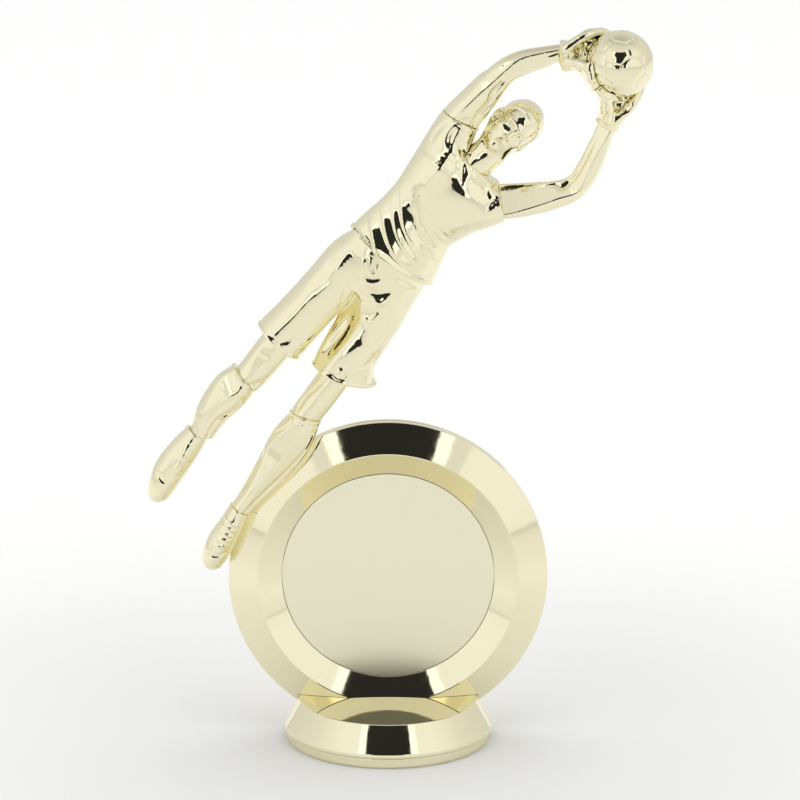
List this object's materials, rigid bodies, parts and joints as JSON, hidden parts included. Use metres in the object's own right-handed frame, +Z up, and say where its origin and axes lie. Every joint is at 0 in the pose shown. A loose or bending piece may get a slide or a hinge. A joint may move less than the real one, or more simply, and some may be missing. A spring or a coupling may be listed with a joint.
{
  "type": "figure trophy",
  "caption": "Gold metallised trophy topper: a goalkeeper diving for a ball, on the rim of an upright round insert holder with a flared round base.",
  "frame": {"origin": "centre of the whole trophy's footprint, on the plane its foot stands on", "axes": "+Z up; -Y is the front, where the insert and the figure's chest face; +X towards the ball"},
  "size_m": [0.1189, 0.0504, 0.1738],
  "materials": {
    "gold_plastic": "vacuum-metallised bright pale gold, mirror gloss",
    "satin_gold_insert": "satin gold anodised, finely brushed",
    "adhesive_foam": "white double-sided foam pad",
    "zinc_steel": "zinc plated"
  },
  "bodies": {
    "root": {"head": "gold_plastic", "shirt": "gold_plastic", "right_arm": "gold_plastic", "left_arm": "gold_plastic", "right_glove": "gold_plastic", "left_glove": "gold_plastic", "ball": "gold_plastic", "shorts": "gold_plastic", "right_leg": "gold_plastic", "left_leg": "gold_plastic", "right_sock": "gold_plastic", "left_sock": "gold_plastic", "right_boot": "gold_plastic", "left_boot": "gold_plastic", "holder_ring": "gold_plastic", "holder_back": "gold_plastic", "base_skirt": "gold_plastic", "foot_plate": "gold_plastic", "insert_disc": "satin_gold_insert", "insert_pad": "adhesive_foam", "captive_nut": "zinc_steel"}
  },
  "joints": []
}
